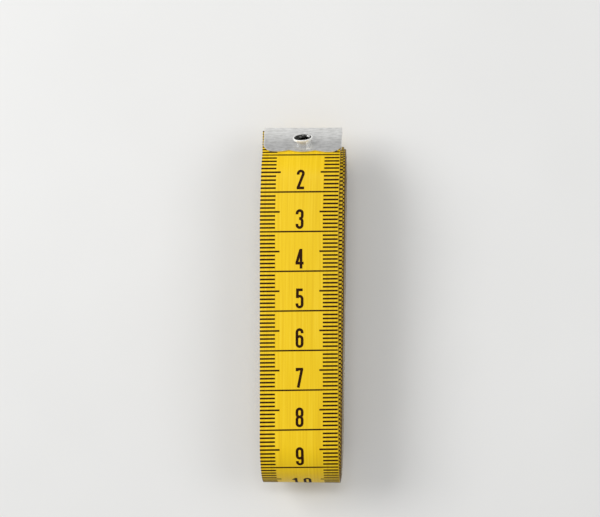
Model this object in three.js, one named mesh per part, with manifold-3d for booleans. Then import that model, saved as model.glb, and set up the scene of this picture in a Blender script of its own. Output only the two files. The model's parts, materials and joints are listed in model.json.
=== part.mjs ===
// Cloth tape measure: one long coated tape wound flat into an oblong roll, with a folded metal tip and an
// eyelet on each end. Sizes are in millimetres. X runs across the tape, Y up the roll towards the zero tip
// and Z out of the printed front. The roll lies on its back on the plane z = 0.

import * as THREE from "three";
import { mergeVertices } from "three/addons/utils/BufferGeometryUtils.js";
import Module from "manifold-3d";

const wasm = await Module();
wasm.setup();

// Tape. A coated tape is nearer 0.4 mm thick and its turns touch: here it is thinner, so that the turns
// keep a clear gap at the pitch of the real roll.
const tapeLength = 2540;
const tapeWidth = 20;
const tapeThickness = 0.2;

// Roll
const straightRun = 65.5; // flat stretch of each run, between the two end bends
const turnGap = 0.42; // clear space between neighbouring turns
const farRunLength = 20; // last stretch of the tape, which carries the far tip inside the roll
const innerCreep = 1.02; // how far the inner turns have slid sideways, half way up the roll
const creepTurns = 1.25; // turns from the front over which most of that slide happens
const creepLean = 0.45; // share by which that slide is larger at the top and smaller at the bottom
const bendSteps = 18; // facets in each half turn

// Free end, which curls back over the top of the roll
const overhang = 1.3; // flat stretch of the front run past the roll's own top bend
const curlInset = 0.601978058; // level of the outer run less the radius of the curl, which is 10.5 here
const curlAngle = THREE.MathUtils.degToRad(44);
const freeDrift = 0.5; // how far the tip has drifted sideways
const driftRun = 12; // flat stretch of the front run, before the curl, over which it drifts
const liftLine = 50; // printed line at which the free end lifts off, measured from the zero edge
const liftGap = 0.3; // cut in the tape at that line

// Tips: sheet folded round the end of the tape, with a scalloped edge
const tipLength = 9.2;
const tipSheet = 0.3;
const tipCorner = 2.8;
const lobeCount = 3;
const lobeDepth = 0.4;
const seatGap = 0.25; // clearance between a tip, its eyelet and the tape

// Eyelets: a tube through tip and tape, flared to a collar in front and turned out flat behind. The collar
// at the zero end has been set aslant: its rim stands higher on the side away from the zero edge.
const eyeletFromEdge = 5.2;
const eyeletBore = 2.5;
const eyeletWall = 0.3;
const collarHeight = 1.2; // at the middle of the rim
const collarFlare = 1.025; // how far the collar spreads beyond the tube
const collarSlant = 0.8; // share of that height by which the two sides of the slanted rim differ from it
const flangeWidth = 0.9;
const eyeletFacets = 24;
const curveSteps = 4; // facets in each small arc of a profile

// Sizes that follow from those above
const pitch = tapeThickness + turnGap;
const halfRun = straightRun / 2;
const tipInside = tapeThickness / 2 + seatGap;
const tipFace = tipInside + tipSheet; // from the middle of the tape to a tip's outer face
const barrelRadius = eyeletBore / 2 + eyeletWall;
const collarRadius = barrelRadius + collarFlare;
const holeRadius = barrelRadius + seatGap;

// Distance of the outer run from the middle plane of the roll, when the tape makes this many half turns.
// Each run lies half a pitch nearer the middle than the one before it. The curl of the free end follows the
// top of the roll, so it is counted as part of the bends.
function outerLevelFor(halfTurns) {
  const flat = tipLength + overhang + farRunLength + halfTurns * straightRun;
  const narrowing = (Math.PI * pitch * halfTurns ** 2) / 4 + curlInset * curlAngle;
  return (tapeLength - flat + narrowing) / (Math.PI * halfTurns + curlAngle);
}

function innerLevelFor(halfTurns) {
  return outerLevelFor(halfTurns) - (halfTurns * pitch) / 2;
}

// The tape makes as many half turns as leave room in the middle for the far tip and its collar.
const roomForTip = tipFace + collarHeight + seatGap + (tapeThickness - pitch) / 2;
let halfTurns = 1;
while (innerLevelFor(halfTurns + 1) > roomForTip) {
  halfTurns += 1;
}
const outerLevel = outerLevelFor(halfTurns);
const curlRadius = outerLevel - curlInset;
const curlEnd = tipLength + curlRadius * curlAngle; // from the zero edge
const middleHeight = outerLevel - pitch / 2 + tapeThickness / 2;
const frontHeight = middleHeight + outerLevel;

// The path of the tape's middle line, in the YZ plane, as straight and round stretches in a row.
// A heading is measured from +Y towards +Z, and every bend turns the same way.
const stretches = [];
const walker = {
  distance: 0,
  heading: Math.PI - curlAngle,
  y: halfRun + overhang + curlRadius * Math.sin(curlAngle) + tipLength * Math.cos(curlAngle),
  z: frontHeight - curlRadius * (1 - Math.cos(curlAngle)) - tipLength * Math.sin(curlAngle),
  bends: 0,
};

function pointAlong(stretch, distance) {
  const run = distance - stretch.distance;
  const share = run / stretch.length;
  const heading = stretch.heading + stretch.turn * share;
  const bends = stretch.bends + stretch.bendsPassed * share;
  if (stretch.turn === 0) {
    const y = stretch.y + run * Math.cos(heading);
    const z = stretch.z + run * Math.sin(heading);
    return { distance, heading, y, z, bends };
  }
  const radius = stretch.length / stretch.turn;
  const y = stretch.y + radius * (Math.sin(heading) - Math.sin(stretch.heading));
  const z = stretch.z - radius * (Math.cos(heading) - Math.cos(stretch.heading));
  return { distance, heading, y, z, bends };
}

function walk(length, turn, bendsPassed) {
  const stretch = { ...walker, length, turn, bendsPassed };
  stretches.push(stretch);
  Object.assign(walker, pointAlong(stretch, walker.distance + length));
}

walk(tipLength, 0, 0);
walk(curlRadius * curlAngle, curlAngle, 0);
walk(driftRun, 0, 0);
walk(overhang + straightRun - driftRun, 0, 0);
for (let bend = 0; bend < halfTurns; bend += 1) {
  const radius = outerLevel - (bend * pitch) / 2 - pitch / 4;
  if (bend < halfTurns - 1) {
    walk(radius * Math.PI, Math.PI, 1);
    walk(straightRun, 0, 0);
  } else {
    // the last bend turns a little further, so that the far tip lies in the middle of the eye
    const drop = innerLevelFor(halfTurns) - pitch / 4;
    const extra = Math.atan2(drop, farRunLength - eyeletFromEdge);
    walk(radius * (Math.PI + extra), Math.PI + extra, 1);
  }
}
walk(tapeLength - walker.distance, 0, 0);

function placeAt(distance) {
  const stretch = stretches.findLast((one) => one.distance <= distance);
  const place = pointAlong(stretch, distance);
  const turns = place.bends / 2;
  const slide = innerCreep * (1 - Math.exp(-turns / creepTurns));
  const lean = 1 + (creepLean * place.y) / halfRun;
  const settled = THREE.MathUtils.smoothstep(distance, tipLength, curlEnd + driftRun);
  place.x = slide * lean + freeDrift * (1 - settled);
  return place;
}

// A place on the tape's section: across it from -1 to 1, and through it from -1, inside, to 1, printed.
function onSection(place, across, through) {
  const out = (through * tapeThickness) / 2;
  const y = place.y + out * Math.sin(place.heading);
  const z = place.z - out * Math.cos(place.heading);
  return new THREE.Vector3(place.x + (across * tapeWidth) / 2, y, z);
}

function placesBetween(from, to) {
  const places = [placeAt(from)];
  for (const stretch of stretches) {
    const steps = Math.max(1, Math.ceil((stretch.turn / Math.PI) * bendSteps));
    for (let step = 0; step < steps; step += 1) {
      const distance = stretch.distance + (stretch.length * step) / steps;
      if (distance > from && distance < to) {
        places.push(placeAt(distance));
      }
    }
  }
  places.push(placeAt(to));
  return places;
}

// A stretch of the tape as a closed strip of four-cornered sections.
function strip(from, to) {
  const corners = [[-1, -1], [1, -1], [1, 1], [-1, 1]];
  const places = placesBetween(from, to);
  const points = places.flatMap((place) => corners.map(([across, out]) => onSection(place, across, out)));
  const faces = [0, 2, 1, 0, 3, 2];
  for (let station = 0; station < places.length - 1; station += 1) {
    for (let corner = 0; corner < corners.length; corner += 1) {
      const near = station * corners.length + corner;
      const nearNext = station * corners.length + ((corner + 1) % corners.length);
      const far = near + corners.length;
      const farNext = nearNext + corners.length;
      faces.push(near, nearNext, farNext, near, farNext, far);
    }
  }
  const last = (places.length - 1) * corners.length;
  faces.push(last, last + 1, last + 2, last, last + 2, last + 3);
  const geometry = new THREE.BufferGeometry().setFromPoints(points);
  geometry.setIndex(faces);
  return geometry;
}

// Cuts and joins
function solidFrom(geometry) {
  const bare = geometry.clone();
  bare.deleteAttribute("normal");
  bare.deleteAttribute("uv");
  const merged = mergeVertices(bare);
  const vertProperties = new Float32Array(merged.attributes.position.array);
  const triVerts = new Uint32Array(merged.index.array);
  return new wasm.Manifold(new wasm.Mesh({ numProp: 3, vertProperties, triVerts }));
}

function geometryFrom(solid) {
  const mesh = solid.getMesh();
  const geometry = new THREE.BufferGeometry();
  geometry.setAttribute("position", new THREE.BufferAttribute(mesh.vertProperties, 3));
  geometry.setIndex(new THREE.BufferAttribute(mesh.triVerts, 1));
  geometry.computeVertexNormals();
  return geometry;
}

// A tip and its eyelet are drawn flat: x across, y towards the zero edge, which is at y = 0, and z out of
// the face with the collar.
function eyeletHole() {
  const length = 2 * (tipFace + seatGap);
  const hole = new THREE.CylinderGeometry(holeRadius, holeRadius, length, eyeletFacets);
  hole.rotateX(Math.PI / 2);
  hole.translate(0, -eyeletFromEdge, 0);
  return hole;
}

// Side view of the folded sheet, drawn with the fold towards +x.
function foldOutline() {
  const reach = 2 * tipLength; // the front outline trims the plates to length
  const outline = new THREE.Shape();
  outline.moveTo(-reach, -tipFace);
  outline.lineTo(-tipFace, -tipFace);
  outline.absarc(-tipFace, 0, tipFace, -Math.PI / 2, Math.PI / 2, false);
  outline.lineTo(-reach, tipFace);
  outline.lineTo(-reach, tipInside);
  outline.lineTo(-tipFace, tipInside);
  outline.absarc(-tipFace, 0, tipInside, Math.PI / 2, -Math.PI / 2, true);
  outline.lineTo(-reach, -tipInside);
  outline.closePath();
  return outline;
}

// Front view of the tip: straight sides, round corners and a row of shallow lobes along the lower edge.
function scallopOutline() {
  const side = tapeWidth / 2;
  const lobeWidth = tapeWidth / lobeCount;
  const outline = new THREE.Shape();
  outline.moveTo(side, tipLength);
  outline.lineTo(-side, tipLength);
  outline.lineTo(-side, tipCorner - tipLength);
  outline.absarc(tipCorner - side, tipCorner - tipLength, tipCorner, Math.PI, 1.5 * Math.PI, false);
  for (let lobe = 0; lobe < lobeCount; lobe += 1) {
    const start = lobe === 0 ? tipCorner - side : lobe * lobeWidth - side;
    const end = lobe === lobeCount - 1 ? side - tipCorner : (lobe + 1) * lobeWidth - side;
    const endDrop = lobe === lobeCount - 1 ? 0 : lobeDepth;
    const isInner = lobe > 0 && lobe < lobeCount - 1;
    const bulge = isInner ? lobeDepth : 0;
    outline.quadraticCurveTo((start + end) / 2, -tipLength - bulge, end, endDrop - tipLength);
  }
  outline.absarc(side - tipCorner, tipCorner - tipLength, tipCorner, 1.5 * Math.PI, 2 * Math.PI, false);
  outline.closePath();
  return outline;
}

function tipGeometry() {
  const width = 2 * tapeWidth;
  const fold = new THREE.ExtrudeGeometry(foldOutline(), {
    depth: width,
    bevelEnabled: false,
    curveSegments: 2 * curveSteps,
  });
  fold.translate(0, 0, -width / 2);
  const turned = new THREE.Matrix4();
  turned.makeBasis(new THREE.Vector3(0, 1, 0), new THREE.Vector3(0, 0, 1), new THREE.Vector3(1, 0, 0));
  fold.applyMatrix4(turned);
  const height = 2 * (tipFace + seatGap);
  const front = new THREE.ExtrudeGeometry(scallopOutline(), {
    depth: height,
    bevelEnabled: false,
    curveSegments: curveSteps,
  });
  front.translate(0, 0, -height / 2);
  return geometryFrom(solidFrom(fold).intersect(solidFrom(front)).subtract(solidFrom(eyeletHole())));
}

function eyeletGeometry(slant) {
  const bore = eyeletBore / 2;
  const lip = eyeletWall / 2;
  const flange = barrelRadius + flangeWidth;
  const back = -tipFace - seatGap - eyeletWall;
  const front = tipFace + collarHeight - lip;
  const flareHeight = (tipFace + seatGap + front) / 2;
  const profile = new THREE.Shape();
  profile.moveTo(bore, back);
  profile.lineTo(flange - lip, back);
  profile.absarc(flange - lip, back + lip, lip, -Math.PI / 2, Math.PI / 2, false);
  profile.lineTo(barrelRadius, back + eyeletWall);
  profile.lineTo(barrelRadius, tipFace);
  profile.quadraticCurveTo(barrelRadius, flareHeight, collarRadius, front);
  profile.absarc(collarRadius - lip, front, lip, 0, Math.PI, false);
  profile.quadraticCurveTo(bore, flareHeight, bore, tipFace);
  profile.closePath();
  const ring = new THREE.LatheGeometry(profile.getPoints(curveSteps), eyeletFacets);
  ring.rotateX(Math.PI / 2);
  const points = ring.attributes.position;
  for (let index = 0; index < points.count; index += 1) {
    const rise = Math.max(points.getZ(index) - tipFace, 0);
    const lift = (-slant * rise * points.getY(index)) / collarRadius;
    points.setZ(index, points.getZ(index) + lift);
  }
  ring.translate(0, -eyeletFromEdge, 0);
  return ring;
}

// Materials
function coatedTape() {
  return new THREE.MeshStandardMaterial({ color: 0xf2ca22, roughness: 0.45, metalness: 0 });
}

function tipMetal() {
  return new THREE.MeshStandardMaterial({ color: 0xc6c6c3, roughness: 0.38, metalness: 1 });
}

function eyeletMetal() {
  return new THREE.MeshStandardMaterial({ color: 0xd8d8d6, roughness: 0.22, metalness: 1 });
}

function piece(name, geometry, material) {
  const mesh = new THREE.Mesh(geometry, material);
  mesh.name = name;
  return mesh;
}

// A tip with its eyelet, as a group that stands at the end of the tape.
function endFitting(name, place, turn, slant) {
  const fitting = new THREE.Group();
  fitting.add(piece(`${name}_tip`, tipGeometry(), tipMetal()));
  fitting.add(piece(`${name}_eyelet`, eyeletGeometry(slant), eyeletMetal()));
  fitting.position.set(place.x, place.y, place.z);
  fitting.rotation.x = turn;
  fitting.updateMatrixWorld(true);
  return fitting;
}

function stripWithHole(from, to, fitting) {
  const hole = eyeletHole().applyMatrix4(fitting.matrixWorld);
  return geometryFrom(solidFrom(strip(from, to)).subtract(solidFrom(hole)));
}

// Least gap of the wound tape to itself: from the printed face of each turn to the inner face of the others.
function leastGapToItself() {
  const places = placesBetween(0, tapeLength);
  const apart = Math.PI * roomForTip; // nearer along the tape than this, two places are on the same bend
  const segment = new THREE.Line3();
  const nearest = new THREE.Vector3();
  let least = Infinity;
  for (const [index, place] of places.entries()) {
    for (const through of [-1, 1]) {
      const point = onSection(place, 0, through).setX(0);
      for (let other = 0; other < places.length - 1; other += 1) {
        const isNear = other >= index - 1 && other <= index;
        const along = Math.abs(places[other].distance - place.distance);
        if (isNear || along < apart) {
          continue;
        }
        segment.start.copy(onSection(places[other], 0, -through)).setX(0);
        segment.end.copy(onSection(places[other + 1], 0, -through)).setX(0);
        segment.closestPointToPoint(point, true, nearest);
        least = Math.min(least, nearest.distanceTo(point));
      }
    }
  }
  return least;
}

const zeroEdge = placeAt(0);
const farEdge = placeAt(tapeLength);
const zeroFitting = endFitting("zero", zeroEdge, zeroEdge.heading - Math.PI, collarSlant);
const farFitting = endFitting("far", farEdge, farEdge.heading, 0);

const freeStrip = stripWithHole(tipFace, liftLine - liftGap / 2, zeroFitting);
const freeEnd = new THREE.Group();
freeEnd.add(piece("tape_free_end", freeStrip, coatedTape()));
freeEnd.add(zeroFitting);

const woundStrip = stripWithHole(liftLine + liftGap / 2, tapeLength - tipFace, farFitting);
const roll = new THREE.Group();
roll.add(piece("tape_roll", woundStrip, coatedTape()));
roll.add(farFitting);

const lift = placeAt(liftLine);
const liftHeight = lift.z + tapeThickness / 2;
console.log(`${halfTurns} half turns, ${(frontHeight + tapeThickness / 2).toFixed(2)} mm thick`);
console.log(`free end lifts about y ${lift.y.toFixed(3)}, z ${liftHeight.toFixed(3)} mm`);
console.log(`least gap between turns ${leastGapToItself().toFixed(3)} mm`);

const tapeMeasure = new THREE.Group();
tapeMeasure.add(roll, freeEnd);

export default tapeMeasure;
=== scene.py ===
# %% [markdown]
# # A cloth tape measure, wound flat
#
# The object is one long strip of yellow coated cloth, printed with a centimetre scale, wound into an oblong
# roll. A folded metal tip with an eyelet closes each end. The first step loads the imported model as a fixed
# frame: its nodes, bodies and joint say where every piece belongs, so nothing has to be fitted by eye.

# %% Load the frame
import bisect
import json
import math
from collections import namedtuple

import bmesh
import bpy
from mathutils import Matrix, Vector


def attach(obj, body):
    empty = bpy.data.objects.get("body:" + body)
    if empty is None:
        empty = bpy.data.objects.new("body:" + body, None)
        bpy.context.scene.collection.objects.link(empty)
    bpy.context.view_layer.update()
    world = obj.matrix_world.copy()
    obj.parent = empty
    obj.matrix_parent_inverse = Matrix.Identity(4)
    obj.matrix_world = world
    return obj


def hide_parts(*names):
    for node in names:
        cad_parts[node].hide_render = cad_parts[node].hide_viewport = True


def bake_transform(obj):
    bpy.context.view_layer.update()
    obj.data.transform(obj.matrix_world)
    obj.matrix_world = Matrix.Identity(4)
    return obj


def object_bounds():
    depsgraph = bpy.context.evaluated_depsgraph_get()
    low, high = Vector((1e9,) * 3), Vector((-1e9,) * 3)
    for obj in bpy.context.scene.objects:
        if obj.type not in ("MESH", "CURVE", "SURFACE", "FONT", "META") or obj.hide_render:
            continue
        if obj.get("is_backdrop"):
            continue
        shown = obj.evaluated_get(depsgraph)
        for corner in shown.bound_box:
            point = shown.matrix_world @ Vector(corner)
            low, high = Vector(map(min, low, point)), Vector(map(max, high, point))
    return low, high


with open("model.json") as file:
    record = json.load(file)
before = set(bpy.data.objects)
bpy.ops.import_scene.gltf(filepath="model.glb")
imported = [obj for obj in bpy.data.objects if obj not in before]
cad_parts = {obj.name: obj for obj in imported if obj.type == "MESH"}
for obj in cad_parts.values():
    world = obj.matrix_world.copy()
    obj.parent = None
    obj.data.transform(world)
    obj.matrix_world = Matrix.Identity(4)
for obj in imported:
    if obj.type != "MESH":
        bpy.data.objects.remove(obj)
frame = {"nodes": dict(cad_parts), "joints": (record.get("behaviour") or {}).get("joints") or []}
cad_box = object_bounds()
print("nodes in the frame:", sorted(frame["nodes"]))

# %% [markdown]
# ## Where the camera stands
#
# The front of the roll is seen almost square on, from a little to the right of it, so that points deeper in
# the roll shift to the right. The scale printed on the tape gives the distance: four pixels to a millimetre
# on the front face. A camera in Blender looks down its own -Z with +Y up, so a small turn about Y is enough.

# %% Camera
MM = 0.001
scene = bpy.context.scene
image_width = 600  # pixels
sensor_width = 36.0
front_height = frame["joints"][0]["pos_m"][2]
camera_distance = 350 * MM
pixels_per_metre = 3.961 / MM
camera_turn = math.radians(3.4)
look_at = Vector((0.2 * MM, 14.455 * MM, front_height))

lens = bpy.data.cameras.new("front_camera")
lens.sensor_width = sensor_width
lens.lens = sensor_width * pixels_per_metre * camera_distance / image_width
camera = bpy.data.objects.new("front_camera", lens)
camera.rotation_euler = (0, camera_turn, 0)
camera.location = look_at + Vector((math.sin(camera_turn), 0, math.cos(camera_turn))) * camera_distance
scene.collection.objects.link(camera)
scene.camera = camera
print(f"camera with a {lens.lens:.1f} mm lens, {camera_distance / MM:.0f} mm from the tape")

# %% [markdown]
# ## The path that the tape follows
#
# A wound tape is a flat drawing that has been rolled up. So the path comes first, as a row of straight and
# round stretches walked by a turtle in the YZ plane: the tip, the curl at the top, the front run and then
# bend after bend, each a little tighter. Every piece that lies on the tape is later drawn flat and wound with
# this one path, so the print can't drift away from the cloth.

# %% Sizes of the tape and its roll
tape_length = 2540 * MM
tape_width = 20 * MM
tape_thickness = 0.45 * MM
strip_thickness = 0.2 * MM  # the thinner strip that stands for the tape in the frame
turn_pitch = 0.62 * MM  # from one turn to the next
straight_run = 65.5 * MM
overhang = 1.3 * MM  # the front run goes this much further up than the others
curl_radius = 10.5 * MM
curl_angle = math.radians(44)
tip_length = 9.2 * MM
eyelet_place = -6.0 * MM  # from the folded edge of a tip
lift_line = 50 * MM  # along the tape, where the free end lifts off the roll

outer_level = (front_height + turn_pitch / 2 - strip_thickness) / 2
half_run = straight_run / 2
print(f"outer run {outer_level / MM:.3f} mm from the middle of the roll")

# %% A stretch of the path
Stretch = namedtuple("Stretch", "start length turn heading y z bends bends_passed")
Place = namedtuple("Place", "y z heading bends")


def place_in(stretch, run):
    share = run / stretch.length
    heading = stretch.heading + stretch.turn * share
    bends = stretch.bends + stretch.bends_passed * share
    if stretch.turn == 0:
        y = stretch.y + run * math.cos(heading)
        z = stretch.z + run * math.sin(heading)
        return Place(y, z, heading, bends)
    radius = stretch.length / stretch.turn
    y = stretch.y + radius * (math.sin(heading) - math.sin(stretch.heading))
    z = stretch.z - radius * (math.cos(heading) - math.cos(stretch.heading))
    return Place(y, z, heading, bends)


def zero_end():
    """Where the path starts, worked back from the front run."""
    middle = front_height - strip_thickness / 2
    y = half_run + overhang + curl_radius * math.sin(curl_angle) + tip_length * math.cos(curl_angle)
    z = middle - curl_radius * (1 - math.cos(curl_angle)) - tip_length * math.sin(curl_angle)
    return Place(y, z, math.pi - curl_angle, 0)


print(f"the path starts {zero_end().y / MM:.2f} mm above the middle of the roll")

# %% Walk the path
stretches = []


def walk(length, turn=0, bends_passed=0):
    """Adds a stretch and gives the length walked so far."""
    start = 0
    here = zero_end()
    if stretches:
        last = stretches[-1]
        start = last.start + last.length
        here = place_in(last, last.length)
    stretches.append(Stretch(start, length, turn, here.heading, here.y, here.z, here.bends, bends_passed))
    return start + length


walk(tip_length)
curl_end = walk(curl_radius * curl_angle, curl_angle)
walked = walk(overhang + straight_run)
# a bend joins one run to the next, which lies half a pitch nearer to the middle of the roll
bend_radius = outer_level - turn_pitch / 4
while True:
    left_over = tape_length - walked - math.pi * bend_radius
    if left_over < straight_run:
        break
    walk(math.pi * bend_radius, math.pi, 1)
    walked = walk(straight_run)
    bend_radius -= turn_pitch / 2
# the last bend turns a little further, so that the far tip lies in the middle of the eye
extra_turn = math.atan2(bend_radius - turn_pitch / 2, left_over + eyelet_place)
far_run_start = walk(bend_radius * (math.pi + extra_turn), math.pi + extra_turn, 1)
walk(tape_length - far_run_start)
stretch_starts = [stretch.start for stretch in stretches]
print(f"{len(stretches)} stretches, {stretches[-1].bends:.0f} half turns")

# %% [markdown]
# A hand-wound roll is never quite even. The inner turns have slid to one side and lean a little, the free end
# drifts sideways before its tip and the far end towards its own, and each run is very slightly wavy. These
# are small formulas of the distance along the tape, so the same place always gets the same offset.

# %% How uneven the winding is
inner_creep = 1.02 * MM  # how far the inner turns have slid to the right
creep_turns = 0.7  # most of the slide happens within so many turns
creep_lean = 0.45  # share by which they slide further at the top and less at the foot
free_drift = 0.4 * MM
far_drift = -0.5 * MM
drift_run = 12 * MM  # length beyond the curl within which the free end settles
turn_wander = 0.07 * MM
wander_rate = 2.1  # radians for each half turn
ripple_depth = 0.06 * MM
ripple_length = 31 * MM
slow_ripple_length = 84 * MM


def smooth_step(value, low, high):
    share = min(max((value - low) / (high - low), 0), 1)
    return share * share * (3 - 2 * share)


def sideways(along, place):
    turns = place.bends / 2
    slide = inner_creep * (1 - math.exp(-turns / creep_turns))
    lean = 1 + creep_lean * place.y / half_run
    wander = turn_wander * math.sin(wander_rate * place.bends)
    settled = smooth_step(along, tip_length, curl_end + drift_run)
    free = min(along / tip_length, 1) * (1 - settled)
    far = smooth_step(along, far_run_start, tape_length - tip_length)
    return slide * lean + wander + free_drift * free + far_drift * far


def ripple(along):
    """How far the tape lies inside its ideal path, from nothing to twice the ripple depth."""
    settled = smooth_step(along, tip_length, curl_end + drift_run)
    waves = math.sin(math.tau * along / ripple_length)
    waves += math.sin(math.tau * along / slow_ripple_length)
    return ripple_depth * (1 + waves / 2) * settled


print(f"at the joint the tape lies {ripple(lift_line) / MM:.3f} mm inside its path")

# %% Wind a flat point onto the roll
def place_at(along):
    index = bisect.bisect_right(stretch_starts, along) - 1
    stretch = stretches[max(index, 0)]
    return place_in(stretch, along - stretch.start)


def wind(across, along, height):
    """A point of the flat tape, with its height over the printed face, placed on the roll."""
    place = place_at(along)
    out = strip_thickness / 2 + height - ripple(along)
    x = sideways(along, place) + across
    y = place.y + out * math.sin(place.heading)
    z = place.z - out * math.cos(place.heading)
    return Vector((x, y, z))


lift_point = wind(0, lift_line, 0)

# %% [markdown]
# ## Shared finishes
#
# Coated cloth, brushed sheet and worn ink all show fine grain that is drawn out in one direction, so that
# effect is one node group with its own inputs. It only puts out a value: the shader stays in each material.

# %% Helpers for materials
def add_node(tree, kind, **settings):
    node = tree.nodes.new("ShaderNode" + kind)
    for name, value in settings.items():
        setattr(node, name, value)
    return node


def new_material(name):
    material = bpy.data.materials.new(name)
    material.use_nodes = True
    shader = material.node_tree.nodes["Principled BSDF"]
    return material, material.node_tree, shader


def colour_ramp(tree, factor, stops):
    ramp = add_node(tree, "ValToRGB")
    elements = ramp.color_ramp.elements
    while len(elements) < len(stops):
        elements.new(1.0)
    for element, (position, colour) in zip(elements, stops):
        element.position = position
        element.color = (*colour, 1.0)
    tree.links.new(factor, ramp.inputs["Fac"])
    return ramp.outputs["Color"]


def value_range(tree, value, low, high, start=0.0, stop=1.0):
    """A value that runs from low to high while the given one runs from start to stop."""
    remap = add_node(tree, "MapRange")
    for name, limit in (("From Min", start), ("From Max", stop), ("To Min", low), ("To Max", high)):
        remap.inputs[name].default_value = limit
    tree.links.new(value, remap.inputs["Value"])
    return remap.outputs["Result"]


def blend_colours(tree, share, first, second):
    mix = add_node(tree, "Mix", data_type="RGBA")
    sockets = {socket.identifier: socket for socket in mix.inputs}
    tree.links.new(share, sockets["Factor_Float"])
    tree.links.new(first, sockets["A_Color"])
    tree.links.new(second, sockets["B_Color"])
    return next(socket for socket in mix.outputs if socket.identifier == "Result_Color")


print("helpers are ready")

# %% Drawn-out grain as a node group
grain_roughness = 0.6  # how strong each finer layer of the noise is

drawn_grain = bpy.data.node_groups.new("drawn_grain", "ShaderNodeTree")
for name, kind in (("Place", "Vector"), ("Frequency", "Vector"), ("Detail", "Float")):
    drawn_grain.interface.new_socket(name, in_out="INPUT", socket_type="NodeSocket" + kind)
drawn_grain.interface.new_socket("Grain", in_out="OUTPUT", socket_type="NodeSocketFloat")
entry = drawn_grain.nodes.new("NodeGroupInput")
leave = drawn_grain.nodes.new("NodeGroupOutput")
draw_out = add_node(drawn_grain, "VectorMath", operation="MULTIPLY")
noise = add_node(drawn_grain, "TexNoise")
noise.inputs["Scale"].default_value = 1.0
noise.inputs["Roughness"].default_value = grain_roughness
link = drawn_grain.links.new
link(entry.outputs["Place"], draw_out.inputs[0])
link(entry.outputs["Frequency"], draw_out.inputs[1])
link(draw_out.outputs["Vector"], noise.inputs["Vector"])
link(entry.outputs["Detail"], noise.inputs["Detail"])
link(noise.outputs["Fac"], leave.inputs["Grain"])


def grain(tree, place, frequency, detail):
    """Noise with so many waves per unit of place along each axis."""
    node = add_node(tree, "Group", node_tree=drawn_grain)
    node.inputs["Frequency"].default_value = frequency
    node.inputs["Detail"].default_value = detail
    tree.links.new(place, node.inputs["Place"])
    return node.outputs["Grain"]


print("node group:", drawn_grain.name)

# %% [markdown]
# ## Yellow coated cloth
#
# The tape is glass-fibre cloth between two skins of plastic, yellow on the centimetre side and white on the
# inch side. The yellow shows faint streaks that run along the tape and a weave that only just comes through,
# and the fibre shows at the cut edges. Along the right edge a thin band of the yellow is painted dark brown, as
# painted shade of the seam between one turn and the next. A pattern in object space would run straight through
# the roll, so the cloth carries its own flat position as an attribute, in millimetres: x across, y along and z
# over the printed face. The height z then also tells the two skins and the fibre between them apart.

# %% Weave
place_name = "tape_place"
thread_scale = 0.7


def tape_place(tree):
    return add_node(tree, "Attribute", attribute_name=place_name).outputs["Vector"]


def bump(tree, height, distance, strength):
    node = add_node(tree, "Bump")
    node.inputs["Distance"].default_value = distance
    node.inputs["Strength"].default_value = strength
    tree.links.new(height, node.inputs["Height"])
    return node.outputs["Normal"]


def weave(tree, place):
    """Threads that cross at right angles, as a height from 0 to 1."""
    cross = add_node(tree, "Math", operation="MULTIPLY")
    for direction, entry in zip("XY", cross.inputs):
        threads = add_node(tree, "TexWave", bands_direction=direction)
        threads.inputs["Scale"].default_value = thread_scale
        tree.links.new(place, threads.inputs["Vector"])
        tree.links.new(threads.outputs["Fac"], entry)
    return cross.outputs["Value"]


print("flat position in:", place_name)

# %% Coated cloth
half_width = tape_width / 2 / MM  # in millimetres, as the flat position is
whole_depth = tape_thickness / MM
skin = 0.06  # thickness of each plastic skin
fibre_top = (-skin, -2 * skin)  # heights between which the yellow skin turns to fibre
fibre_foot = (skin - whole_depth, skin / 2 - whole_depth)  # and the fibre to the white skin
# the brown band at the right edge is painted shade of the seam with the next turn, not a colour of the cloth
seam_shade_span = (half_width - 0.20, half_width - 0.08)  # where the yellow turns brown at the right edge
streak_waves = (2.2, 0.03, 1.0)
smear_waves = (0.25, 0.12, 1.0)
yellow_shades = [(0.30, (0.80, 0.505, 0.006)), (0.52, (0.88, 0.585, 0.008)), (0.72, (0.93, 0.640, 0.026))]
fibre_shades = [(0.3, (0.16, 0.10, 0.02)), (0.7, (0.28, 0.19, 0.05))]
seam_shade_shades = [(0.3, (0.08, 0.035, 0.004)), (0.7, (0.15, 0.075, 0.008))]
white_shades = [(0.3, (0.74, 0.73, 0.69)), (0.7, (0.82, 0.81, 0.78))]
cloth_roughness = (0.34, 0.56)
cloth_specular = 0.22
weave_depth = 0.01 * MM
weave_strength = 0.35

cloth, tree, shader = new_material("coated_cloth")
flat_place = tape_place(tree)
streaks = grain(tree, flat_place, streak_waves, detail=3.0)
shades = (yellow_shades, fibre_shades, seam_shade_shades, white_shades)
yellow, fibre, brown, white = [colour_ramp(tree, streaks, stops) for stops in shades]
split = add_node(tree, "SeparateXYZ")
tree.links.new(flat_place, split.inputs["Vector"])
under_yellow = value_range(tree, split.outputs["Z"], 0.0, 1.0, *fibre_top)
under_fibre = value_range(tree, split.outputs["Z"], 0.0, 1.0, *fibre_foot)
# share of painted seam shade, in a band along the right edge of the yellow
seam_shade_share = value_range(tree, split.outputs["X"], 0.0, 1.0, *seam_shade_span)
fibre_and_seam_shade = blend_colours(tree, under_yellow, blend_colours(tree, seam_shade_share, yellow, brown), fibre)
tree.links.new(blend_colours(tree, under_fibre, fibre_and_seam_shade, white), shader.inputs["Base Color"])
smears = grain(tree, flat_place, smear_waves, detail=3.0)
tree.links.new(value_range(tree, smears, *cloth_roughness), shader.inputs["Roughness"])
woven = bump(tree, weave(tree, flat_place), weave_depth, weave_strength)
tree.links.new(woven, shader.inputs["Normal"])
shader.inputs["Specular IOR Level"].default_value = cloth_specular
print("material:", cloth.name)

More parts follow.
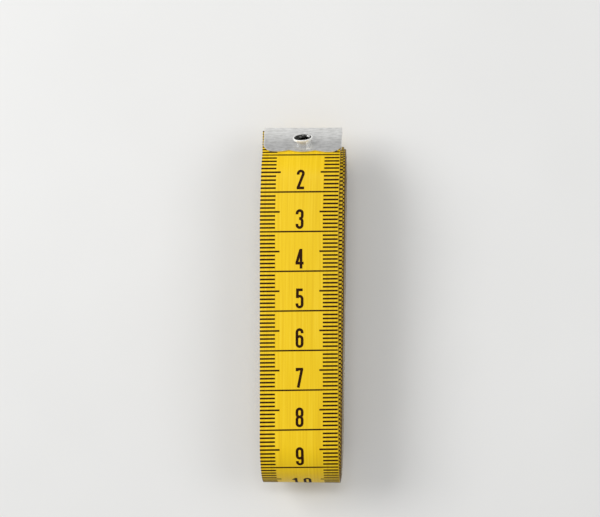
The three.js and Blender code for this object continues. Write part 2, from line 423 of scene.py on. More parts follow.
# %% [markdown]
# ## The tape itself
#
# A strip could be extruded along a curve, but then its ends, its thickness and its flat position are hard to
# control. Here a plain grid is wrapped instead: its columns go round the section of the tape, its rows become
# stations along the path. The seam is merged, the two ends are filled, and the result is one closed strip.
# The stations lie close together on bends, and also where the free end will bend when it is lifted, because
# the print would sink into the flat of a long step.

# %% Section of the tape
corner_radius = 0.12 * MM
corner_steps = 2
section_columns = 4 * (corner_steps + 1)


def section_point(column):
    """Across and height of one point on the rounded section, counted round it."""
    corner, step = divmod(column % section_columns, corner_steps + 1)
    angle = math.pi / 2 * (corner + step / corner_steps)
    side = 1 if corner in (0, 3) else -1
    face = 1 if corner in (0, 1) else -1
    across = side * (tape_width / 2 - corner_radius) + corner_radius * math.cos(angle)
    height = face * (tape_thickness / 2 - corner_radius) + corner_radius * math.sin(angle)
    return across, height - tape_thickness / 2


print(f"{section_columns} points round the section")

# %% Stations along the tape
bend_step = math.radians(4)
run_step = 2.5 * MM
lift_step = 0.4 * MM
lift_bend = 15 * MM  # length over which the free end bends when it is lifted


def stations(first, last):
    marks = []
    for stretch in stretches:
        steps = math.ceil(max(stretch.turn / bend_step, stretch.length / run_step))
        marks += [stretch.start + stretch.length * step / steps for step in range(steps)]
    lift_steps = round(lift_bend / lift_step)
    marks += [lift_line - lift_bend * step / lift_steps for step in range(lift_steps)]
    kept = [first]
    for mark in sorted(marks):
        if kept[-1] + lift_step / 2 < mark < last - lift_step / 2:
            kept.append(mark)
    return kept + [last]


print(f"{len(stations(0, tape_length))} stations from end to end")

# %% Two strips that meet at the joint
half_grid = 0.5  # half the side of a grid that is one unit wide
merge_distance = 0.001 * MM
fold_room = 0.7 * MM  # the tape stops short of the fold of a tip


def new_mesh(name, bm):
    mesh = bpy.data.meshes.new(name)
    bm.to_mesh(mesh)
    bm.free()
    return mesh


def new_piece(name, bm, *materials, smooth_angle=30):
    """An object shaded smooth, apart from edges sharper than an angle in degrees."""
    for face in bm.faces:
        face.smooth = True
    mesh = new_mesh(name, bm)
    mesh.set_sharp_from_angle(angle=math.radians(smooth_angle))
    for material in materials:
        mesh.materials.append(material)
    piece = bpy.data.objects.new(name, mesh)
    scene.collection.objects.link(piece)
    print(f"{name}: {len(mesh.polygons)} faces")
    return piece


def face_outwards(bm):
    """Points all faces outwards. The operator reads the old normals, so they are updated first."""
    bm.normal_update()
    bmesh.ops.recalc_face_normals(bm, faces=bm.faces)


def tape_strip(name, first, last):
    rows = stations(first, last)
    bm = bmesh.new()
    bmesh.ops.create_grid(bm, x_segments=section_columns, y_segments=len(rows) - 1, size=half_grid)
    layer = bm.verts.layers.float_vector.new(place_name)
    for vert in bm.verts:
        column = round((vert.co.x + half_grid) * section_columns)
        along = rows[round((vert.co.y + half_grid) * (len(rows) - 1))]
        across, height = section_point(column)
        vert[layer] = Vector((across, along, height)) / MM
        vert.co = wind(across, along, height)
    bmesh.ops.remove_doubles(bm, verts=bm.verts, dist=merge_distance)
    ends = [edge for edge in bm.edges if edge.is_boundary]
    bmesh.ops.holes_fill(bm, edges=ends, sides=section_columns)
    face_outwards(bm)
    return new_piece(name, bm, cloth)


free_tape = tape_strip("free_tape_end", fold_room, lift_line)
wound_tape = tape_strip("wound_tape", lift_line, tape_length - fold_room)

# %% [markdown]
# ## The printed scale
#
# Every millimetre has a tick in from each edge, every half centimetre a longer one, and every centimetre a
# line right across with its number above it. Ink painted by a texture would blur close up, so the print is
# thin geometry: bars and digits lie half sunk in the face of the tape. The digits are drawn as a sign writer
# draws them, with a broad pen: an edge as wide as the stroke is extruded along straight moves and spun along
# round ones.

# %% A broad pen
pen_width = 0.69  # digits are drawn in millimetres
pen_step = 0.6
arc_step = math.radians(22.5)


def new_edge(made):
    return next(item for item in made if isinstance(item, bmesh.types.BMEdge))


def pen_stroke(bm, start, heading, moves):
    """Draws one stroke. A move is (length, 0) for a straight line or (radius, degrees) for an arc."""
    heading = math.radians(heading)
    here = Vector((*start, 0))
    aside = Vector((-math.sin(heading), math.cos(heading), 0)) * pen_width / 2
    edge = bm.edges.new((bm.verts.new(here - aside), bm.verts.new(here + aside)))
    for size, degrees in moves:
        if degrees == 0:
            steps = math.ceil(size / pen_step)
            step = Vector((math.cos(heading), math.sin(heading), 0)) * size / steps
            for _ in range(steps):
                edge = new_edge(bmesh.ops.extrude_edge_only(bm, edges=[edge])["geom"])
                bmesh.ops.translate(bm, verts=list(edge.verts), vec=step)
            here = here + step * steps
            continue
        turn = math.radians(degrees)
        left = Vector((-math.sin(heading), math.cos(heading), 0))
        centre = here + left * math.copysign(size, turn)
        steps = math.ceil(abs(turn) / arc_step)
        pen = [*edge.verts, edge]
        swept = bmesh.ops.spin(bm, geom=pen, cent=centre, axis=(0, 0, 1), angle=turn, steps=steps)
        edge = new_edge(swept["geom_last"])
        here = centre + Matrix.Rotation(turn, 3, "Z") @ (here - centre)
        heading += turn


print(f"a pen {pen_width} mm wide")

# %% [markdown]
# The digits are tall and narrow, with straight sides between round ends. Each is a few strokes, given by a
# start, a heading in degrees and a list of moves, all in millimetres. A 9 is a 6 turned upside down.

# %% Strokes of the ten digits
digit_height = 5.0
bowl = 0.66  # radius of every round stroke, at its middle
low_bowl = pen_width / 2 + bowl  # height at which the lower round begins
high_bowl = digit_height - low_bowl
side = high_bowl - low_bowl
waist = 2.62  # height of the stroke in the middle of a 3 or an 8
hook = 3.7  # height at which the end of a hooked stroke stops
hook_run = high_bowl - hook
tail = 0.3  # straight end of the lower hook of a 3 or a 5
waist_bar = 0.12  # straight end of each half of a 3 at its waist
loop_side = 1.27  # straight side of the closed loop of a 6 or a 9
top_bar = digit_height - pen_width / 2
waist_to_low = waist - bowl - low_bowl
high_to_waist = high_bowl - bowl - waist
hooked_loop = [(hook_run, 0), (bowl, 180), (side, 0), (bowl, 180), (loop_side, 0), (bowl, 180)]
digit_strokes = {
    "0": [((-bowl, low_bowl), 90, [(side, 0), (bowl, -180), (side, 0), (bowl, -180)])],
    "1": [((0.2, digit_height), -90, [(digit_height, 0)]), ((-0.65, 3.85), 42, [(1.0, 0)])],
    "2": [
        ((-bowl, hook), 90, [(hook_run, 0), (bowl, -200), (3.7, 0)]),
        ((-0.93, pen_width / 2), 0, [(1.86, 0)]),
    ],
    "3": [
        ((-bowl, hook), 90, [(hook_run, 0), (bowl, -180), (high_to_waist, 0), (bowl, -90), (waist_bar, 0)]),
        ((-waist_bar, waist), 0, [(waist_bar, 0), (bowl, -90), (waist_to_low, 0), (bowl, -180), (tail, 0)]),
    ],
    "4": [
        ((0.37, digit_height), -90, [(digit_height, 0)]),
        ((-1.02, 1.38), 0, [(2.04, 0)]),
        ((0.25, 4.75), -106.5, [(3.5, 0)]),
    ],
    "5": [
        ((-0.8, top_bar), 0, [(1.6, 0)]),
        ((-0.52, digit_height), -91, [(2.4, 0)]),
        ((-0.62, 2.63), 70, [(bowl, -160), (1.45, 0), (bowl, -180), (tail, 0)]),
    ],
    "6": [((bowl, hook), 90, hooked_loop)],
    "7": [
        ((-0.9, top_bar), 0, [(1.8, 0)]),
        ((-0.62, digit_height), -90, [(0.85, 0)]),
        ((0.62, 4.75), -101.5, [(4.85, 0)]),
    ],
    "8": [
        ((-bowl, low_bowl), 90, [(waist_to_low, 0), (bowl, -180), (waist_to_low, 0), (bowl, -180)]),
        ((-bowl, waist + bowl), 90, [(high_to_waist, 0), (bowl, -180), (high_to_waist, 0), (bowl, -180)]),
    ],
    "9": [((-bowl, digit_height - hook), -90, hooked_loop)],
}
print("digits drawn:", *digit_strokes)

# %% Digits as thin slabs
ink_depth = 0.04 * MM
stroke_rise = 0.002  # each stroke lies a hair over the last, so that no two share a face


def digit_mesh(digit):
    """One digit as closed slabs of ink, in millimetres, standing on y = 0, centred on x = 0 and z = 0."""
    bm = bmesh.new()
    for index, (start, heading, moves) in enumerate(digit_strokes[digit]):
        drawn = set(bm.verts)
        pen_stroke(bm, start, heading, moves)
        stroke = [vert for vert in bm.verts if vert not in drawn]
        bmesh.ops.translate(bm, verts=stroke, vec=(0, 0, index * stroke_rise))
        bmesh.ops.remove_doubles(bm, verts=stroke, dist=merge_distance / MM)
    bm.normal_update()
    upside_down = [face for face in bm.faces if face.normal.z < 0]
    bmesh.ops.reverse_faces(bm, faces=upside_down)
    depth = ink_depth / MM
    bmesh.ops.solidify(bm, geom=bm.faces[:], thickness=depth)
    lowest = min(vert.co.z for vert in bm.verts)
    bmesh.ops.translate(bm, verts=bm.verts, vec=(0, 0, -depth / 2 - lowest))
    return new_mesh("digit_" + digit, bm)


digits = {digit: digit_mesh(digit) for digit in digit_strokes}
print("faces in each digit:", {digit: len(mesh.polygons) for digit, mesh in digits.items()})

# %% [markdown]
# The scale is laid out flat, in tape coordinates, and only then wound on. It begins at the left edge and
# stops a little short of the right one. The centimetre print stands on the outer face, with each number above
# its line. The inch print stands on the inner face and counts from the far end, so that a tape can be read
# from either tip. Ticks show at the edge of every turn, so they run the whole length, and on under the zero
# tip, where they show at its round corners. Numbers can only be read on the outer turns and inside the eye of
# the roll, so only those are written.

# %% Bars and numbers on the flat tape
tick_width = 0.44 * MM
line_width = 0.38 * MM
number_gap = 0.645 * MM  # from the middle of a line to the foot of its number
number_shift = 0.08 * MM
digit_pitch = 3.1  # in millimetres, as the digits are
edge_line = tape_width / 2
right_margin = 0.27 * MM  # the print stops this far short of the right edge at first
inner_margin = 0.1 * MM  # and this far on the inner turns
drift_span = (90 * MM, 180 * MM)  # stretch of the tape in which it drifts over


def right_end(along):
    drifted = smooth_step(along, *drift_span)
    return edge_line - right_margin * (1 - drifted) - inner_margin * drifted


def add_bar(bm, left, right, along, width, face):
    centre = Matrix.Translation(((left + right) / 2, along, face))
    size = Matrix.Diagonal((right - left, width, ink_depth, 1))
    bmesh.ops.create_cube(bm, size=1, matrix=centre @ size)


def add_ticks(bm, along, left_tick, right_tick, face):
    add_bar(bm, -edge_line, left_tick - edge_line, along, tick_width, face)
    add_bar(bm, right_end(along) - right_tick, right_end(along), along, tick_width, face)


def add_number(bm, number, foot, up, face):
    """Writes a number from its foot, up the tape or down it."""
    text = str(number)
    for index, digit in enumerate(text):
        before = len(bm.verts)
        bm.from_mesh(digits[digit])
        bm.verts.ensure_lookup_table()
        shift = (index - (len(text) - 1) / 2) * digit_pitch
        for vert in bm.verts[before:]:
            across, height, depth = vert.co
            across = number_shift + (across + shift) * MM
            vert.co = Vector((across, foot + up * height * MM, face + depth * MM))


print(f"ticks {tick_width / MM:.2f} mm and lines {line_width / MM:.2f} mm wide")

# %% The centimetre scale
print_pitch = 1.0015 * MM  # the print runs a little long, as it may on such tapes
ticks_per_centimetre = 10
centimetre = ticks_per_centimetre * print_pitch
number_height = digit_height * MM
millimetre_ticks = (3.85 * MM, 3.78 * MM)  # at the left and the right edge
half_ticks = (5.0 * MM, 4.65 * MM)
tip_edges = (tip_length, tape_length - tip_length)
last_outside = 680 * MM  # numbers on the outer turns can be read up to here
first_inside = 2340 * MM  # and those in the eye of the roll from here on
readable = [(tip_edges[0], last_outside), (first_inside, tip_edges[1])]


def can_be_read(first, last):
    return any(start < first and last < stop for start, stop in readable)


def centimetre_scale(bm, first, last):
    """Millimetres on the outer face, counted from the zero end of the tape."""
    for mark in range(math.floor(first / print_pitch) + 1, math.floor(last / print_pitch) + 1):
        along = mark * print_pitch
        if mark % ticks_per_centimetre == 0:
            add_bar(bm, -edge_line, right_end(along), along, line_width, 0)
            continue
        is_half = mark % (ticks_per_centimetre // 2) == 0
        add_ticks(bm, along, *(half_ticks if is_half else millimetre_ticks), 0)
    before = math.floor((first + number_gap) / centimetre)
    latest = math.floor((last + number_gap) / centimetre)
    for number in range(before + 1, latest + 1):
        foot = number * centimetre - number_gap
        if can_be_read(foot - number_height, foot):
            add_number(bm, number, foot, -1, 0)


print(f"a printed centimetre is {centimetre / MM:.3f} mm long")

# %% The inch scale
inch = 25.4 * MM
ticks_per_inch = 8
eighth_tick = 3.0 * MM
quarter_tick = 4.4 * MM
half_inch_tick = 6.0 * MM


def inch_tick(mark):
    if mark % (ticks_per_inch // 2) == 0:
        return half_inch_tick
    return quarter_tick if mark % (ticks_per_inch // 4) == 0 else eighth_tick


def inch_scale(bm, first, last):
    """Eighths of an inch on the inner face, counted from the far end of the tape."""
    lowest = math.ceil((tape_length - last) / inch * ticks_per_inch)
    beyond = math.ceil((tape_length - first) / inch * ticks_per_inch)
    for mark in range(lowest, beyond):
        along = tape_length - mark * inch / ticks_per_inch
        if mark % ticks_per_inch == 0:
            add_bar(bm, -edge_line, right_end(along), along, line_width, -tape_thickness)
            foot = along + number_gap
            if can_be_read(foot, foot + number_height):
                add_number(bm, mark // ticks_per_inch, foot, 1, -tape_thickness)
            continue
        add_ticks(bm, along, inch_tick(mark), inch_tick(mark), -tape_thickness)


print(f"the tape is {tape_length / inch:.0f} inches long")

# %% [markdown]
# The ink itself is a thin dark brown-black film, duller than the skin under it, and rubbed a little thin in
# places. The print on such a tape is never quite square to the edge: here it leans more and more over the
# first few centimetres. Operators slow down as a mesh grows, so the print is made in short lengths.

# %% Ink
wear_waves = (1.6, 0.9, 1.0)
ink_shades = [(0.0, (0.022, 0.006, 0.001)), (0.66, (0.028, 0.008, 0.001)), (0.84, (0.10, 0.050, 0.004))]
ink_roughness = (0.50, 0.70)
ink_specular = 0.08

ink, tree, shader = new_material("scale_ink")
wear = grain(tree, tape_place(tree), wear_waves, detail=5.0)
tree.links.new(colour_ramp(tree, wear, ink_shades), shader.inputs["Base Color"])
tree.links.new(value_range(tree, wear, *ink_roughness), shader.inputs["Roughness"])
shader.inputs["Specular IOR Level"].default_value = ink_specular
print("material:", ink.name)

# %% Print on the two stretches of tape
print_skew = 0.022
full_skew_at = 80 * MM
print_overlap = 0.5 * MM  # the line at the joint of the free end belongs to the roll
print_length = 100 * MM


def printed_length(first, last):
    bm = bmesh.new()
    centimetre_scale(bm, first, last)
    inch_scale(bm, first, last)
    layer = bm.verts.layers.float_vector.new(place_name)
    for vert in bm.verts:
        across, along, height = vert.co
        along -= print_skew * min(along / full_skew_at, 1) * across
        vert[layer] = Vector((across, along, height)) / MM
        vert.co = wind(across, along, height)
    face_outwards(bm)
    return new_mesh("printed_length", bm)


def printed_scale(name, first, last):
    whole = bmesh.new()
    count = math.ceil((last - first) / print_length)
    for index in range(count):
        start = first + (last - first) * index / count
        stop = first + (last - first) * (index + 1) / count
        length = printed_length(start, stop)
        whole.from_mesh(length)
        bpy.data.meshes.remove(length)
    return new_piece(name, whole, ink)


joint_print = lift_line - print_overlap
free_print = printed_scale("free_end_print", fold_room, joint_print)
roll_print = printed_scale("roll_print", joint_print, tip_edges[1])

# %% [markdown]
# ## Folded tips
#
# Each tip is a strip of thin sheet, cut with a scalloped edge at both ends, folded round the end of the tape
# and pressed flat. It is made the same way here: a grid is the flat blank, its end rows are cut to the
# scallops, and every row is then laid round the fold.

# %% Tip sizes
tip_sheet = 0.3 * MM
tip_corner = 2.8 * MM
lobe_count = 3
lobe_depth = 0.55 * MM
edge_slant = 0.018  # the scalloped edge isn't cut quite square
press_gap = 0.08 * MM
fold_radius = tape_thickness / 2 + press_gap + tip_sheet
side_press = 0.08 * MM  # how far the sides of a plate are pressed in
side_press_width = 0.7 * MM
fold_reach = 0.4 * MM  # how far the fold goes past the zero of the scale
plate_bow = 0.42 * MM  # how far the front plate stands out in its middle


def scallop(across):
    """How far the edge of a tip is set back from its full length."""
    lobe = abs(math.sin(math.pi * lobe_count * (across / tape_width + 0.5)))
    setback = lobe_depth * (1 - lobe)
    past_corner = abs(across) - (edge_line - tip_corner)
    if past_corner > 0:
        share = min(past_corner / tip_corner, 1)
        setback = max(setback * (1 - share), tip_corner * (1 - math.sqrt(1 - share * share)))
    return setback - edge_slant * across


print(f"a tip is {2 * fold_radius / MM:.2f} mm thick over the tape")

# %% Lay the blank round the fold
blank_columns = 72
fold_rows = 6
plate_rows = 8
fold_share = fold_rows / (fold_rows + plate_rows)


def folded(across, share):
    """A place on the blank, share from -1 at the back edge to 1 at the front edge, laid round the fold."""
    face = math.copysign(1, share)
    if abs(share) < fold_share:
        angle = math.pi / 2 * share / fold_share
        along = fold_reach + fold_radius * (math.cos(angle) - 1)
        return Vector((across, along, fold_radius * math.sin(angle)))
    plate = tip_length + fold_reach - fold_radius - scallop(across)
    run = plate * (abs(share) - fold_share) / (1 - fold_share)
    to_side = min((edge_line - abs(across)) / side_press_width, 1)
    press = side_press * (1 - to_side) ** 2
    bow = plate_bow * (1 - (2 * run / plate - 1) ** 2) if face > 0 else 0
    return Vector((across, fold_reach - fold_radius - run, face * (fold_radius - press + bow)))


print(f"the blank is {2 * (tip_length + fold_reach + (math.pi / 2 - 1) * fold_radius) / MM:.1f} mm long")

# %% [markdown]
# The tips are plated sheet, finely brushed across the tape. Brushing is the same drawn-out grain as before,
# with its long direction across the tip, and it drives colour and a very shallow bump together. Handling has
# rubbed the plating brighter in patches, and broad clouds change its gloss.

# %% Brushed sheet
brush_waves = (0.25 / MM, 6 / MM, 6 / MM)
cloud_waves = (0.3 / MM, 0.4 / MM, 0.4 / MM)
scuff_waves = (0.7 / MM, 1.8 / MM, 1.8 / MM)
grey_shades = [(0.30, (0.56, 0.56, 0.55)), (0.70, (0.79, 0.79, 0.78))]
rubbed_shades = [(0.30, (0.73, 0.73, 0.72)), (0.70, (0.95, 0.95, 0.94))]
scuff_edge = (0.38, 0.62)  # values of the noise between which grey turns to rubbed
sheet_roughness = (0.24, 0.38)
sheet_metallic = 0.85
brush_depth = 0.01 * MM
brush_strength = 0.7


def object_place(tree):
    return add_node(tree, "TexCoord").outputs["Object"]


sheet_metal, tree, shader = new_material("brushed_sheet")
lines = grain(tree, object_place(tree), brush_waves, detail=4.0)
clouds = grain(tree, object_place(tree), cloud_waves, detail=2.0)
scuffs = grain(tree, object_place(tree), scuff_waves, detail=2.0)
grey = colour_ramp(tree, lines, grey_shades)
rubbed = colour_ramp(tree, lines, rubbed_shades)
patches = value_range(tree, scuffs, 0.0, 1.0, *scuff_edge)
tree.links.new(blend_colours(tree, patches, grey, rubbed), shader.inputs["Base Color"])
tree.links.new(value_range(tree, clouds, *sheet_roughness), shader.inputs["Roughness"])
tree.links.new(bump(tree, lines, brush_depth, brush_strength), shader.inputs["Normal"])
shader.inputs["Metallic"].default_value = sheet_metallic
print("material:", sheet_metal.name)

# %% [markdown]
# The folded blank is only a surface, so it gets its thickness inwards, and its sharp edges are rounded.

# %% Make a tip
sheet_edge = 0.03 * MM
edge_steps = 2
edge_angle = math.radians(50)  # edges sharper than this are rounded


def settle(piece):
    """Applies the modifiers of a piece, so that its mesh is final."""
    depsgraph = bpy.context.evaluated_depsgraph_get()
    final = bpy.data.meshes.new_from_object(piece.evaluated_get(depsgraph))
    piece.modifiers.clear()
    piece.data = final
    print(f"{piece.name}: now {len(final.polygons)} faces")


def tip_plate(name, place):
    bm = bmesh.new()
    rows = 2 * (fold_rows + plate_rows)
    bmesh.ops.create_grid(bm, x_segments=blank_columns, y_segments=rows, size=1)
    for vert in bm.verts:
        across = edge_line * math.sin(vert.co.x * math.pi / 2)
        vert.co = place @ folded(across, vert.co.y)
    face_outwards(bm)
    piece = new_piece(name, bm, sheet_metal, smooth_angle=40)
    wall = piece.modifiers.new("sheet", "SOLIDIFY")
    wall.thickness = tip_sheet
    wall.offset = -1
    wall.use_even_offset = True
    round_edge = piece.modifiers.new("round_edge", "BEVEL")
    round_edge.width = sheet_edge
    round_edge.segments = edge_steps
    round_edge.limit_method = "ANGLE"
    round_edge.angle_limit = edge_angle
    settle(piece)
    return piece


print(f"a tip has walls {tip_sheet / MM:.1f} mm thick")

# %% [markdown]
# ## Eyelets
#
# An eyelet is a short tube through tip and tape, turned out flat behind and opened to a cup in front. A tube
# like this is a section spun about an axis: the section is a ring of corners, two of them rounded widely for
# the flare and others a little for the flange and for the bead rolled round the rim. The cup at the zero end
# was set aslant by its press, so its rim stands higher on the side away from the folded edge, and it leans a
# little to the left.

# %% Section of an eyelet
eyelet_bore = 1.5 * MM  # radius of the hole through it
eyelet_wall = 0.3 * MM
barrel = eyelet_bore + eyelet_wall
collar_flare = 0.775 * MM
collar = barrel + collar_flare
bead_width = 0.4 * MM
bead_depth = 0.42 * MM
bead_step = 0.12 * MM  # how far the bead stands out from the cup under it
flange_width = 0.65 * MM
flange = barrel + flange_width
flare_round = 0.4 * MM
bead_round = 0.17 * MM
flange_round = 0.13 * MM
round_steps = 5
plate_face = fold_radius + plate_bow


def eyelet_section(bm, rim):
    """The wall of the tube, cut through on one side, as a closed ring of edges."""
    back = -fold_radius
    mouth = collar - bead_width
    outline = [
        (eyelet_bore, back - eyelet_wall, flange_round),
        (flange, back - eyelet_wall, flange_round),
        (flange, back, flange_round),
        (barrel, back, 0),
        (barrel, plate_face, flare_round),
        (collar - bead_step, rim - bead_depth, 0),
        (collar, rim - bead_depth, 0),
        (collar, rim, bead_round),
        (mouth, rim, bead_round),
        ((mouth + eyelet_bore) / 2, (rim + plate_face) / 2, 0),
        (eyelet_bore, plate_face, flare_round),
    ]
    corners = [bm.verts.new((radius, eyelet_place, height)) for radius, height, _ in outline]
    for corner, following in zip(corners, corners[1:] + corners[:1]):
        bm.edges.new((corner, following))
    for offset in (flare_round, bead_round, flange_round):
        chosen = [corner for corner, point in zip(corners, outline) if point[-1] == offset]
        bmesh.ops.bevel(
            bm, geom=chosen, offset=offset, affect="VERTICES", segments=round_steps, profile=0.5, material=-1
        )


print(f"an eyelet opens from {2 * eyelet_bore / MM:.1f} to {2 * collar / MM:.2f} mm")

# %% [markdown]
# One tube shows three finishes: a satin wall, a lip painted near-white as a painted highlight, and an inside
# painted near-black as painted shade in the bore. The same painted highlight is put on one side of the cup and
# on a spot in its mouth. Each face of the spun tube gets its finish from where it lies and which way it looks.

# %% Finishes of an eyelet
tube_waves = (1.2 / MM, 1.2 / MM, 1.2 / MM)
inward = -0.4  # faces that look this much towards the axis belong to the bore
# the bright side of the cup and the bright spot in its mouth are painted highlights, where the lamps would
# glint
highlight_side = Vector((0.87, -0.5))  # which way the bright side of the cup lies
highlight_side_width = 0.80  # cosine of half the angle that it takes
mouth_highlight = Vector((0.67, 0.74))  # which way the bright spot in its mouth lies
mouth_highlight_width = 0.97
axis_point = Vector((0, eyelet_place, 0))


def plated_tube(name, dark, light, roughness, metallic):
    material, tree, shader = new_material(name)
    clouds = grain(tree, object_place(tree), tube_waves, detail=3.0)
    tree.links.new(colour_ramp(tree, clouds, [(0.30, dark), (0.70, light)]), shader.inputs["Base Color"])
    tree.links.new(value_range(tree, clouds, *roughness), shader.inputs["Roughness"])
    shader.inputs["Metallic"].default_value = metallic
    return material


tube_finishes = {  # dark shade, light shade, range of roughness, metallic
    "satin_wall": ((0.55, 0.55, 0.545), (0.68, 0.68, 0.675), (0.48, 0.60), 0.3),
    # the lip is painted near-white as a painted highlight; the same finish goes on one side of the cup and a
    # spot in its mouth
    "painted_highlight_white": ((0.90, 0.90, 0.88), (0.97, 0.97, 0.95), (0.18, 0.30), 0.2),
    # the inside of the bore is painted near-black: painted shade of the hollow, not a colour of the plating
    "painted_shade_bore": ((0.02, 0.02, 0.019), (0.09, 0.09, 0.085), (0.18, 0.32), 1.0),
}
eyelet_finishes = [plated_tube(name, *values) for name, values in tube_finishes.items()]
wall_index, highlight_index, shaded_bore_index = range(len(eyelet_finishes))


# lip, one side of the cup and a spot in the mouth get the painted highlight; the rest of the bore gets painted
# shade
def finish_index(face, rim):
    middle = face.calc_center_median()
    outward = (middle - axis_point).to_2d().normalized()
    if face.normal.to_2d().dot(outward) < inward:
        in_mouth = (rim + plate_face) / 2 < middle.z < rim - bead_round
        return highlight_index if in_mouth and outward.dot(mouth_highlight) > mouth_highlight_width else shaded_bore_index
    on_lip = middle.z > rim - bead_depth
    return highlight_index if on_lip or outward.dot(highlight_side) > highlight_side_width else wall_index


print("materials:", list(tube_finishes))

# %% Spin an eyelet
eyelet_steps = 64


def eyelet(name, place, rim_height, slant=Vector((0, 0)), lean=0):
    """A tube whose rim rises by the slant and whose cup leans sideways."""
    rim = fold_radius + rim_height
    bm = bmesh.new()
    eyelet_section(bm, rim)
    ring = bm.verts[:] + bm.edges[:]
    bmesh.ops.spin(
        bm, geom=ring, cent=axis_point, axis=(0, 0, 1), angle=math.tau, steps=eyelet_steps, use_merge=True
    )
    bmesh.ops.remove_doubles(bm, verts=bm.verts, dist=merge_distance)
    face_outwards(bm)
    for face in bm.faces:
        face.material_index = finish_index(face, rim)
    for vert in bm.verts:
        rise = max(vert.co.z - fold_radius, 0)
        vert.co.z += rise * slant.dot((vert.co - axis_point).to_2d()) / collar
        vert.co.x += rise * lean
    bmesh.ops.transform(bm, matrix=place, verts=bm.verts)
    return new_piece(name, bm, *eyelet_finishes, smooth_angle=50)


print(f"an eyelet is spun in {eyelet_steps} steps")

# %% [markdown]
# Both ends use the same parts, drawn flat and then laid on the tape. At the zero end the tip was folded on a
# little to the right and its eyelet set further still, so the hole is punched where the eyelet is.

# %% Punch a hole
hole_radius = eyelet_bore + eyelet_wall / 2
hole_depth = 6 * MM
hole_sides = 48


def cut_hole(piece, place):
    """Punches a round hole, turned by half a side so that its corners miss the lines of the grid."""
    middle = Matrix.Translation((0, eyelet_place, 0))
    turned = place @ middle @ Matrix.Rotation(math.pi / hole_sides, 4, "Z")
    round_punch = {"radius1": hole_radius, "radius2": hole_radius, "segments": hole_sides}
    bm = bmesh.new()
    bmesh.ops.create_cone(bm, cap_ends=True, depth=hole_depth, matrix=turned, **round_punch)
    punch = new_piece("punch", bm, eyelet_finishes[wall_index])
    boolean = piece.modifiers.new("eyelet_hole", "BOOLEAN")
    boolean.object = punch
    boolean.operation = "DIFFERENCE"
    boolean.solver = "EXACT"
    settle(piece)
    bpy.data.objects.remove(punch)


print(f"the hole for an eyelet is {2 * hole_radius / MM:.2f} mm wide")

# %% Tips and eyelets in place
zero_tip_shift = 0.55 * MM
zero_eyelet_shift = 0.35 * MM
zero_rim = 2.05 * MM  # from the flat of the tip to the middle of the rim
far_rim = 1.2 * MM
zero_slant = Vector((0.08, -0.54))  # rise of the rim to the right and towards the fold, where it falls
zero_lean = -0.12  # lean to the right for each part of the height, so here to the left
middle_shift = (tape_thickness - strip_thickness) / 2


def end_place(along, turn, shift, lift):
    """A matrix that puts a tip, drawn flat with its fold at y = 0, on one end of the tape."""
    place = place_at(along)
    spot = Matrix.Translation((sideways(along, place), place.y, place.z))
    return spot @ Matrix.Rotation(place.heading + turn, 4, "X") @ Matrix.Translation((shift, 0, lift))


zero_place = end_place(0, -math.pi, zero_tip_shift, -middle_shift)
far_place = end_place(tape_length, 0, 0, middle_shift)
zero_hole = zero_place @ Matrix.Translation((zero_eyelet_shift, 0, 0))
zero_tip = tip_plate("zero_tip_sheet", zero_place)
zero_eyelet = eyelet("zero_eyelet_tube", zero_hole, zero_rim, zero_slant, zero_lean)
far_tip = tip_plate("far_tip_sheet", far_place)
far_eyelet = eyelet("far_eyelet_tube", far_place, far_rim)
for piece in (zero_tip, free_tape):
    cut_hole(piece, zero_hole)
for piece in (far_tip, wound_tape):
    cut_hole(piece, far_place)

# %% [markdown]
# ## What moves with what
#
# The roll stays where it lies. The free end lifts off the roll at the 5 cm line and carries its tip. On the
# real tape that stretch bends; here the cloth and its print only have their transforms applied and join no
# body.

# %% Bodies and replaced nodes
for piece in (free_tape, free_print):
    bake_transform(piece)
for piece in (zero_tip, zero_eyelet):
    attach(piece, "free_end")
for piece in (wound_tape, roll_print, far_tip, far_eyelet):
    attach(piece, "roll")
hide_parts("tape_free_end")
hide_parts("tape_roll")
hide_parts("zero_tip")
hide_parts("zero_eyelet")
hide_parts("far_tip")
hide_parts("far_eyelet")
print(f"the free end bends over {lift_bend / MM:.0f} mm beyond the joint")

# %% [markdown]
# ## Floor and light
#
# A pale floor under an even sky, and three soft lamps: a wide one at the left, a weaker one at the right, so
# that the shadows stay soft, and a small one in front for a little shine on the curl. Together they light a
# level surface so that its colour renders about as it is written.

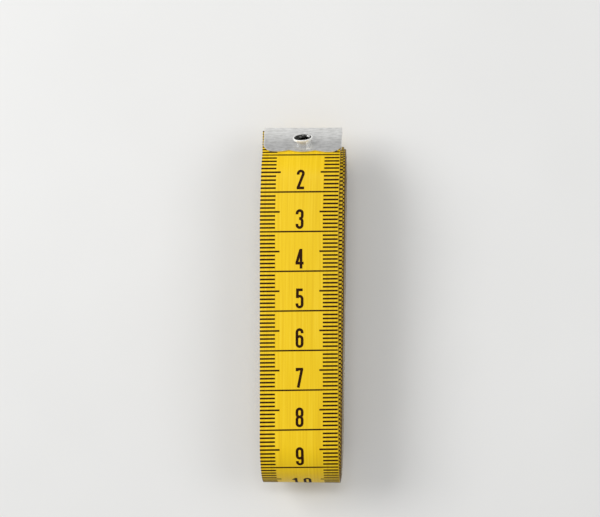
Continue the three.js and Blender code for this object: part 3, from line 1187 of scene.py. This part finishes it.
# %% Floor
floor_half = 2.0  # half its side, in metres
floor_drop = 0.3 * MM
floor_roughness = 0.8
mottle_waves = (20, 20, 20)
floor_shades = [(0.2, (0.80, 0.80, 0.79)), (0.8, (0.83, 0.83, 0.82))]

pale, tree, shader = new_material("pale_floor")
mottle = grain(tree, object_place(tree), mottle_waves, detail=2.0)
tree.links.new(colour_ramp(tree, mottle, floor_shades), shader.inputs["Base Color"])
shader.inputs["Roughness"].default_value = floor_roughness
bm = bmesh.new()
bmesh.ops.create_grid(bm, x_segments=1, y_segments=1, size=floor_half)
bmesh.ops.translate(bm, verts=bm.verts, vec=(0, 0, -floor_drop))
floor = new_piece("floor", bm, pale)
floor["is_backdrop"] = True
print(f"floor {floor_drop / MM:.1f} mm under the roll")

# %% Light
sky_strength = 0.41
roll_middle = Vector((0, 0, front_height / 2))
scene.view_settings.view_transform = "Standard"
sky = bpy.data.worlds.new("even_sky")
sky.use_nodes = True
background = sky.node_tree.nodes["Background"]
background.inputs["Color"].default_value = (1.0, 1.0, 1.0, 1.0)
background.inputs["Strength"].default_value = sky_strength
scene.world = sky


def soft_lamp(name, location, width, height, power):
    """A lamp, in metres and watts, that looks at the middle of the roll."""
    data = bpy.data.lights.new(name, "AREA")
    data.shape = "RECTANGLE"
    data.size = width
    data.size_y = height
    data.energy = power
    lamp = bpy.data.objects.new(name, data)
    lamp.location = location
    aim = roll_middle - lamp.location
    lamp.rotation_euler = aim.to_track_quat("-Z", "Y").to_euler()
    scene.collection.objects.link(lamp)


soft_lamp("left_lamp", (-0.44, 0.22, 0.46), width=0.40, height=0.32, power=2.35)
soft_lamp("right_lamp", (0.40, 0.10, 0.50), width=0.30, height=0.30, power=0.70)
soft_lamp("front_lamp", (0.02, 0.17, 0.62), width=0.20, height=0.08, power=0.55)
print("lamps:", [lamp.name for lamp in bpy.data.lights])

# %% [markdown]
# ## Sizes
#
# Two boxes show how closely the pieces drawn here agree with the imported model.

# %% Sizes
boxes = {
    "cad": [list(corner) for corner in cad_box],
    "visual": [list(corner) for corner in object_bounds()],
}
for name, box in boxes.items():
    print(name, "box in mm:", [[round(value / MM, 2) for value in corner] for corner in box])
